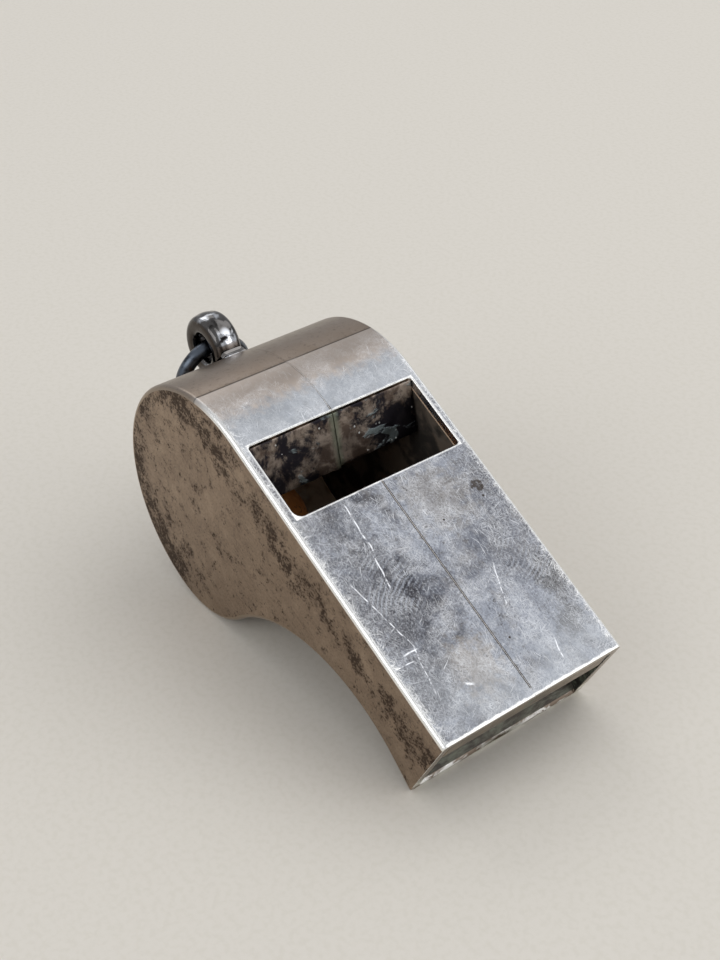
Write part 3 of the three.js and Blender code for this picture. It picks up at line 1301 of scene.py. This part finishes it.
@dataclass
class PressedBody:
    """The two pressed halves that meet on the middle plane, with the window cut through them."""

    outline: SideOutline = field(default_factory=SideOutline)
    half_width: float = 10.0
    sheet: float = 0.9
    lip: float = 0.45
    edge: float = 0.45
    edge_steps: int = 7
    rounding: float = 0.13
    seam_share: float = 0.2
    window_front: float = 9.0
    window_back: float = 1.2
    window_half_width: float = 9.0
    window_floor: float = 11.3
    window_roof: float = 14.0
    large_corner: float = 0.85
    small_corner: float = 0.32
    corner_steps: int = 8
    flat_steps: int = 4
    lining_shares: tuple[float, ...] = (1.0, 0.66, 0.33, 0.0)

    def outer_rings(self) -> list[Point]:
        """Rings of the outer face, from the seam to the cheek.

        Returns:
            Inset and side place of each ring.
        """
        flat = self.half_width - self.edge
        rings = [(0.0, flat * share) for share in sweep(0.0, 1.0, self.flat_steps)]
        for angle in sweep(0.0, QUARTER_TURN, self.edge_steps)[1:]:
            rings.append((self.edge * (1 - math.cos(angle)), flat + self.edge * math.sin(angle)))
        return rings

    def window_cutter(self) -> bpy.types.Object:
        """Prism with rounded corners that takes the window out of the top plate.

        Returns:
            The cutting object, which is deleted after use.
        """
        side = self.window_half_width
        corners = (
            (self.window_front, side, self.small_corner),
            (self.window_back, side, self.small_corner),
            (self.window_back, -side, self.small_corner),
            (self.window_front, -side, self.large_corner),
        )
        middle = (self.window_front + self.window_back) / 2
        rim: list[Point] = []
        for index, (x, y, radius) in enumerate(corners):
            centre = x - math.copysign(radius, x - middle), y - math.copysign(radius, y)
            start = QUARTER_TURN * index
            turns = sweep(start, start + QUARTER_TURN, self.corner_steps)
            rim += [polar(centre, radius, turn) for turn in turns]
        levels = (self.window_floor, self.window_roof)
        points = [BODY.place(x, y, up) for up in levels for x, y in rim]
        return mesh_object("window_cutter", points, loft(len(levels), len(rim)), [])

    def half(self, side: Side, finishes: Sequence[bpy.types.Material]) -> bpy.types.Object:
        """One pressed half, with its wall, before the window is cut.

        Args:
            side: Which half.
            finishes: Materials in the order of Zone.

        Returns:
            The object.
        """
        outer = self.outer_rings()
        wall = self.half_width - self.sheet
        inner = [(self.sheet, wall * share) for share in self.lining_shares]
        points: list[Vector] = []
        rows: list[list[int]] = []
        for index, (inset, y) in enumerate(outer + inner):
            within = index >= len(outer)
            line = self.outline.path(inset, self.lip if within else None, lined=inset == 0.0)
            rows.append(list(range(len(points), len(points) + len(line))))
            points += [BODY.place(x, side.value * y, up) for x, up in line]
        shell, lining = rows[:len(outer)], rows[len(outer):]
        faces: list[Sequence[int]] = []
        zones: list[int] = []
        strips = (
            [(a, b, Zone.BAND) for a, b in zip(shell, shell[1:])]
            + [(a, b, Zone.INSIDE) for a, b in zip(lining, lining[1:])]
            + [(lining[-1], shell[0], Zone.INSIDE)]
        )
        for first, second, zone in strips:
            last = len(first) - 2
            for i in range(last + 1):
                faces.append((first[i], first[i + 1], second[i + 1], second[i]))
                zones.append(Zone.BAND.value if i == last else zone.value)
        mouth = [row[0] for row in shell] + [row[-1] for row in reversed(shell)]
        mouth += [row[-1] for row in reversed(lining)] + [row[0] for row in lining]
        for rim, zone in ((shell[-1], Zone.CHEEK), (lining[0], Zone.INSIDE), (mouth, Zone.BAND)):
            faces.append(rim)
            zones.append(zone.value)
        name = f"{side.name.lower()}_half_shell_skin"
        return mesh_object(name, points, faces, finishes, zones)

    def build(self) -> None:
        """Makes both halves, cuts the window, rounds the edges and puts them on the body."""
        finishes = [ScratchedPlate().make(), TarnishedCheek().make(), StainedInside().make()]
        cutter = self.window_cutter()
        cutter.data.materials.append(finishes[Zone.BAND.value])
        for side in Side:
            skin = self.half(side, finishes)
            cut = skin.modifiers.new("window", "BOOLEAN")
            cut.operation = "DIFFERENCE"
            cut.solver = "EXACT"
            cut.object = cutter
            settle(skin)
            soften_edges(skin, self.rounding, self.seam_share)
            put_on(skin, "body", f"{side.name.lower()}_half_shell")
        bpy.data.objects.remove(cutter)


@dataclass
class Labium:
    """The sloping ramp behind the window, in two soldered halves with a ragged lower edge."""

    top_forward: float = 1.4
    top_up: float = 12.25
    length: float = 5.2
    degrees: float = 50.0
    thickness: float = 0.7
    seam: float = 0.02
    outer_side: float = 8.9
    steps_across: int = 44
    steps_down: int = 18
    rounding: float = 0.05
    waviness: float = 0.07
    waves_across: float = 0.45
    waves_down: float = 2.3
    wave_layer: float = 4.0
    ragged: float = 0.1
    tears_across: float = 1.1
    tear_layer: Point = (9.0, 2.0)
    left_drop: float = 0.12
    right_drop: float = -0.06

    def point(self, side: Side, across: float, down: float, depth: float) -> Vector:
        """A point of one half.

        Args:
            side: Which half.
            across: Share of the way from the seam to the cheek.
            down: Share of the way from the window's back edge to the lower edge.
            depth: Millimetres below the upper face.

        Returns:
            The point in metres.
        """
        y = side.value * (self.seam + (self.outer_side - self.seam) * across)
        slope = math.radians(self.degrees)
        wave = Vector((y * self.waves_across, down * self.waves_down, self.wave_layer))
        lump = noise.noise(wave) * self.waviness
        drop = self.left_drop if side is Side.LEFT else self.right_drop
        tear = noise.noise(Vector((y * self.tears_across, *self.tear_layer))) * self.ragged + drop
        run = (self.length + tear * down) * down
        forward = self.top_forward + run * math.cos(slope) + (lump - depth) * math.sin(slope)
        up = self.top_up - run * math.sin(slope) + (lump - depth) * math.cos(slope)
        return BODY.place(forward, y, up)

    def build(self) -> None:
        """Makes both halves as lumpy closed strips."""
        finish = SolderedStrip().make()
        wide = self.steps_across + 1
        for side in Side:
            points = [
                self.point(side, i / self.steps_across, j / self.steps_down, depth)
                for depth in (0.0, self.thickness)
                for j in range(self.steps_down + 1)
                for i in range(wide)
            ]
            layer = wide * (self.steps_down + 1)
            faces: list[Sequence[int]] = []
            for base in (0, layer):
                for j in range(self.steps_down):
                    for i in range(self.steps_across):
                        k = base + j * wide + i
                        faces.append((k, k + 1, k + wide + 1, k + wide))
            edge = list(range(wide))
            edge += [j * wide + wide - 1 for j in range(1, self.steps_down + 1)]
            edge += [layer - 2 - i for i in range(self.steps_across)]
            edge += [j * wide for j in range(self.steps_down - 1, 0, -1)]
            for a, b in zip(edge, edge[1:] + edge[:1]):
                faces.append((a, b, b + layer, a + layer))
            strip = mesh_object(f"{side.name.lower()}_labium_strip", points, faces, [finish])
            soften_edges(strip, self.rounding)
            put_on(strip, "body", f"{side.name.lower()}_labium_ramp")


@dataclass
class WindwayRoof:
    """Folded strip under the top plate, with rounded bends and two lips."""

    front: float = 31.96
    rear: float = 9.2
    top: float = 11.32
    under: float = 9.0
    sheet: float = 0.8
    bend: float = 0.5
    least_bend: float = 0.15
    rounding: float = 0.1
    half_width: float = 8.9
    bend_steps: int = 6
    steps_across: int = 12

    def section(self) -> list[Point]:
        """Cross-section of the strip, with its bends rounded.

        Returns:
            Points as forward and up.
        """
        inner = max(self.bend - self.sheet / 2, self.least_bend)
        front, rear, bend = self.front - self.sheet, self.rear + self.sheet, self.bend
        floor = self.under + self.sheet
        rim: list[Point] = [(self.front, self.top), (front, self.top)]
        for x, start in ((front - inner, 0.0), (rear + inner, -QUARTER_TURN)):
            turns = sweep(start, start - QUARTER_TURN, self.bend_steps)
            rim += [polar((x, floor + inner), inner, turn) for turn in turns]
        rim += [(rear, self.top), (self.rear, self.top)]
        for x, start in ((self.rear + bend, HALF_TURN), (self.front - bend, -QUARTER_TURN)):
            turns = sweep(start, start + QUARTER_TURN, self.bend_steps)
            rim += [polar((x, self.under + bend), bend, turn) for turn in turns]
        return rim

    def build(self) -> None:
        """Makes the strip and puts it on the body."""
        rim = self.section()
        places = sweep(-self.half_width, self.half_width, self.steps_across)
        points = [BODY.place(x, y, up) for y in places for x, up in rim]
        finish = SolderedStrip(
            name="tarnished_strip",
            stain="#51463c",
            brown="#7d7061",
            beige="#978978",
            solder="#8f877b",
            dark_share=0.38,
            spread=0.0,
        ).make()
        faces = loft(len(places), len(rim))
        strip = mesh_object("windway_roof_strip", points, faces, [finish])
        soften_edges(strip, self.rounding)
        put_on(strip, "body", "windway_roof")


@dataclass
class LanyardLoop:
    """Thick short tube on the back of the barrel, on a filleted foot."""

    radius: float = 3.25
    crown: float = 0.1
    bore: float = 1.45
    half_length: float = 1.45
    rim_rounding: float = 0.8
    bore_rounding: float = 0.5
    seat: float = 2.18
    turns: int = 128
    rounding_steps: int = 8
    bore_steps: int = 4
    crown_steps: int = 10
    barrel_radius: float = SideOutline.barrel_radius
    foot_reach: float = 3.1
    foot_half_width: float = 1.3
    foot_height: float = 12.86
    foot_inner: float = 2.3
    foot_floor: float = 12.7
    foot_lift: float = 0.02
    foot_edge: float = 0.12
    foot_shrink: float = 0.22
    shrink_power: int = 6
    fillet_steps: int = 10
    under_steps: int = 24
    foot_steps: int = 14
    centre: Vector = field(init=False)
    height: float = field(init=False)
    outward: Vector = field(init=False)
    forward: Vector = field(init=False)

    def __post_init__(self) -> None:
        """Finds the loop's axis and its direction away from the barrel."""
        self.centre = joint_place("ring_swing")
        self.height = (self.centre - BODY.axis).length / MM
        self.outward = (self.centre - BODY.axis).normalized()
        self.forward = Vector((self.outward.z, 0.0, -self.outward.x))

    def profile(self) -> list[Point]:
        """Half section of the tube: distance from its axis, and place along it.

        Returns:
            A closed ring of points.
        """
        rim, end = self.rim_rounding, self.half_length
        ring: list[Point] = []
        for share in sweep(-1.0, 1.0, self.crown_steps):
            place = share * (end - rim)
            ring.append((self.radius - self.crown * share * share, place))
        edge = self.radius - self.crown - rim
        turns = sweep(0.0, QUARTER_TURN, self.rounding_steps)[1:]
        ring += [polar((edge, end - rim), rim, a) for a in turns]
        lip = self.bore + self.bore_rounding
        for way, start in ((1, QUARTER_TURN), (-1, HALF_TURN)):
            nook = lip, way * (end - self.bore_rounding)
            turns = sweep(start, start + QUARTER_TURN, self.bore_steps)
            ring += [polar(nook, self.bore_rounding, a) for a in turns]
        turns = sweep(-QUARTER_TURN, 0.0, self.rounding_steps)[:-1]
        ring += [polar((edge, -end + rim), rim, a) for a in turns]
        return ring

    def tube(self, finish: bpy.types.Material) -> bpy.types.Object:
        """The tube, cut flat where it sits on its foot.

        Args:
            finish: Its material.

        Returns:
            The object.
        """
        ring = self.profile()
        points = []
        for turn in sweep(0.0, FULL_TURN, self.turns)[:-1]:
            spoke = self.forward * math.cos(turn) + self.outward * math.sin(turn)
            for away, along in ring:
                points.append(self.centre + (spoke * away + Vector((0.0, along, 0.0))) * MM)
        faces = loft(self.turns, len(ring), closed=True)
        loop = mesh_object("lanyard_loop_tube", points, faces, [finish])
        shaped = bmesh.new()
        shaped.from_mesh(loop.data)
        cut = bmesh.ops.bisect_plane(
            shaped,
            geom=shaped.verts[:] + shaped.edges[:] + shaped.faces[:],
            plane_co=self.centre - self.outward * self.seat * MM,
            plane_no=-self.outward,
            clear_outer=True,
        )
        rim = [e for e in cut["geom_cut"] if isinstance(e, bmesh.types.BMEdge)]
        bmesh.ops.edgenet_fill(shaped, edges=rim)
        bmesh.ops.recalc_face_normals(shaped, faces=shaped.faces)
        shaped.to_mesh(loop.data)
        shaped.free()
        smooth(loop)
        return loop

    def foot_section(self, shrink: float) -> list[Point]:
        """Section of the foot: hollow below to the barrel, with a concave fillet up each flank.

        Args:
            shrink: Millimetres by which the section draws in towards the foot's ends.

        Returns:
            Points as place along the barrel and distance from its axis.
        """
        reach = self.foot_reach - shrink
        grip = self.barrel_radius + self.foot_lift
        under = [(x, math.sqrt(grip ** 2 - x * x)) for x in sweep(-reach, reach, self.under_steps)]
        crest = self.foot_height - shrink
        flank = math.sqrt(self.radius ** 2 - (self.height - crest) ** 2) + self.foot_lift
        start = under[-1][1] + self.foot_edge
        rise = []
        for share in sweep(0.0, 1.0, self.fillet_steps):
            x = reach + (flank - reach) * math.sin(share * QUARTER_TURN)
            rise.append((x, start + (crest - start) * (1 - math.cos(share * QUARTER_TURN))))
        low = self.foot_floor - shrink
        floor = [(self.foot_inner, low), (-self.foot_inner, low)]
        mirrored = [(-x, up) for x, up in reversed(rise)]
        return under + rise + floor + mirrored

    def foot(self, finish: bpy.types.Material) -> bpy.types.Object:
        """The solder foot between tube and barrel.

        Args:
            finish: Its material.

        Returns:
            The object.
        """
        shares = sweep(-1.0, 1.0, self.foot_steps)
        points = []
        for share in shares:
            aside = Vector((0.0, share * self.foot_half_width, 0.0))
            for x, away in self.foot_section(self.foot_shrink * abs(share) ** self.shrink_power):
                across = self.forward * x + self.outward * away
                points.append(BODY.axis + (across + aside) * MM)
        faces = loft(len(shares), len(points) // len(shares))
        foot = mesh_object("loop_saddle_foot", points, faces, [finish])
        smooth(foot)
        return foot

    def build(self) -> None:
        """Makes tube and foot and puts them on the body."""
        finish = OxidisedLoop().make()
        put_on(self.tube(finish), "body", "lanyard_loop")
        # The foot gets the same painted highlight on the faces that mirror the front softbox
        bright = OxidisedLoop(
            name="rubbed_solder_foot_with_highlight",
            base="#7f7c7a",
            dark="#3f3a36",
            end="#5a5149",
            rubbed="#d2d4d9",
        ).make()
        put_on(self.foot(bright), "body", "loop_saddle")


@dataclass
class JumpRing:
    """Round wire bent to a ring with a filed cut, leaning on the barrel."""

    radius: float = 3.6
    wire: float = 0.7
    barrel_radius: float = SideOutline.barrel_radius
    rest_gap: float = 0.3
    cut: float = 0.3
    cut_degrees: float = 115.0
    stations: int = 150
    sides: int = 24
    chamfer: float = 0.12
    crease_degrees: float = 40.0

    def build(self) -> None:
        """Makes the ring and puts it on its own body."""
        pivot = joint_place("ring_swing")
        outward = pivot - BODY.axis
        lean = math.asin((self.barrel_radius + self.wire + self.rest_gap) * MM / outward.length)
        outward.normalize()
        forward = Vector((outward.z, 0.0, -outward.x))
        down = -forward * math.sin(lean) - outward * math.cos(lean)
        square = Vector((0.0, 1.0, 0.0)).cross(down)
        middle = pivot + down * self.radius * MM
        gap = self.cut / self.radius
        start = math.radians(self.cut_degrees) + gap / 2
        end = start + FULL_TURN - gap
        step = self.chamfer / self.radius
        turns = [start] + sweep(start + step, end - step, self.stations) + [end]
        points = []
        for index, turn in enumerate(turns):
            spoke = Vector((0.0, math.sin(turn), 0.0)) - down * math.cos(turn)
            at_end = index in (0, len(turns) - 1)
            thick = self.wire - (self.chamfer if at_end else 0.0)
            for angle in sweep(0.0, FULL_TURN, self.sides)[:-1]:
                away = spoke * (self.radius + thick * math.cos(angle))
                points.append(middle + (away + square * thick * math.sin(angle)) * MM)
        faces = loft(len(turns), self.sides)
        ring = mesh_object("jump_ring_wire", points, faces, [DarkWire().make()])
        smooth(ring, self.crease_degrees)
        put_on(ring, "ring", "jump_ring")


@dataclass
class CorkPea:
    """Cork ball, turned not quite true, with open pores."""

    radius: float = 5.3
    divisions: int = 6
    lump: float = 0.12
    pore: float = 0.1
    lump_size: float = 3.0
    pore_size: float = 0.8
    pore_layer: Triple = (7.0, 0.0, 3.0)
    pore_level: float = 0.15

    def build(self) -> None:
        """Makes the ball and puts it on its own body."""
        low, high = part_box("cork_pea")
        centre = (low + high) / 2
        shaped = bmesh.new()
        bmesh.ops.create_icosphere(shaped, subdivisions=self.divisions, radius=1.0)
        for vertex in shaped.verts:
            ray = vertex.co.normalized()
            lumps = noise.noise(ray * self.radius / self.lump_size) - 1
            pores = noise.noise(ray * self.radius / self.pore_size + Vector(self.pore_layer))
            pits = min(0.0, pores + self.pore_level)
            away = self.radius + self.lump * lumps / 2 + self.pore * pits
            vertex.co = centre + ray * away * MM
        mesh = bpy.data.meshes.new("cork_pea_ball")
        shaped.to_mesh(mesh)
        shaped.free()
        mesh.materials.append(Cork().make())
        pea = bpy.data.objects.new("cork_pea_ball", mesh)
        bpy.context.scene.collection.objects.link(pea)
        mesh.shade_smooth()
        put_on(pea, "pea", "cork_pea")


@dataclass(frozen=True)
class Softbox:
    """A large soft lamp. Sizes in metres."""

    name: str
    place: Triple
    width: float
    height: float
    brightness: float
    colour: str

    def build(self, target: Vector) -> None:
        """Hangs the lamp so that it faces the target.

        Args:
            target: Point that it faces.
        """
        lamp = bpy.data.lights.new(self.name, "AREA")
        lamp.shape = "RECTANGLE"
        lamp.size, lamp.size_y = self.width, self.height
        lamp.energy = self.brightness * math.pi * self.width * self.height
        lamp.color = linear(self.colour)[:3]
        hung = bpy.data.objects.new(self.name, lamp)
        hung.location = self.place
        hung.rotation_euler = (target - Vector(self.place)).to_track_quat("-Z", "Y").to_euler()
        bpy.context.scene.collection.objects.link(hung)


@dataclass
class Studio:
    """Pale floor, soft light and the camera. Metres, and millimetres where it says so."""

    floor_half: float = 1.5
    sky: str = "#e9eaec"
    sky_strength: float = 0.68
    camera_place_mm: Triple = (93.06, -70.22, 98.84)
    camera_turn_degrees: Triple = (54.748, 0.848, 51.962)
    lens: float = 59.84
    sensor: float = 36.0
    far: float = 10.0
    lamps: tuple[Softbox, ...] = (
        Softbox("key_softbox", (0.147, 0.414, 0.68), 0.9, 0.7, 1.12, "#ffffff"),
        Softbox("front_softbox", (0.65, 0.36, 0.3), 0.5, 0.35, 1.5, "#ffffff"),
        Softbox("left_softbox", (0.05, -0.7, 0.47), 0.7, 0.4, 1.6, "#ffffff"),
        Softbox("back_softbox", (-0.6, 0.12, 0.5), 0.5, 0.35, 1.2, "#ffffff"),
    )

    def build(self) -> None:
        """Lays the floor, hangs the lamps and sets up the camera."""
        half = self.floor_half
        spots = ((-half, -half), (half, -half), (half, half), (-half, half))
        corners = [Vector((x, y, 0.0)) for x, y in spots]
        floor = mesh_object("floor", corners, [range(len(corners))], [PaleCard().make()])
        world = bpy.data.worlds.new("soft_sky")
        world.use_nodes = True
        sky = world.node_tree.nodes["Background"].inputs
        sky["Color"].default_value = linear(self.sky)
        sky["Strength"].default_value = self.sky_strength
        scene = bpy.context.scene
        scene.world = world
        scene.view_settings.view_transform = "Standard"
        middle = (CAD_BOX[0] + CAD_BOX[1]) / 2
        for lamp in self.lamps:
            lamp.build(middle)
        seen = bpy.data.cameras.new("camera")
        seen.lens, seen.sensor_width = self.lens, self.sensor
        seen.clip_start, seen.clip_end = MM, self.far
        camera = bpy.data.objects.new("camera", seen)
        turn = Euler([math.radians(d) for d in self.camera_turn_degrees])
        camera.matrix_world = Matrix.LocRotScale(Vector(self.camera_place_mm) * MM, turn, None)
        scene.collection.objects.link(camera)
        scene.camera = camera
        log.info("studio: floor, %d lamps and camera", len(self.lamps))


def main() -> None:
    """Builds every sub-assembly in order, then the studio."""
    logging.basicConfig(level=logging.INFO, format="%(name)s: %(message)s")
    for assembly in (PressedBody, Labium, WindwayRoof, LanyardLoop, JumpRing, CorkPea, Studio):
        assembly().build()


if __name__ == "__main__":
    main()
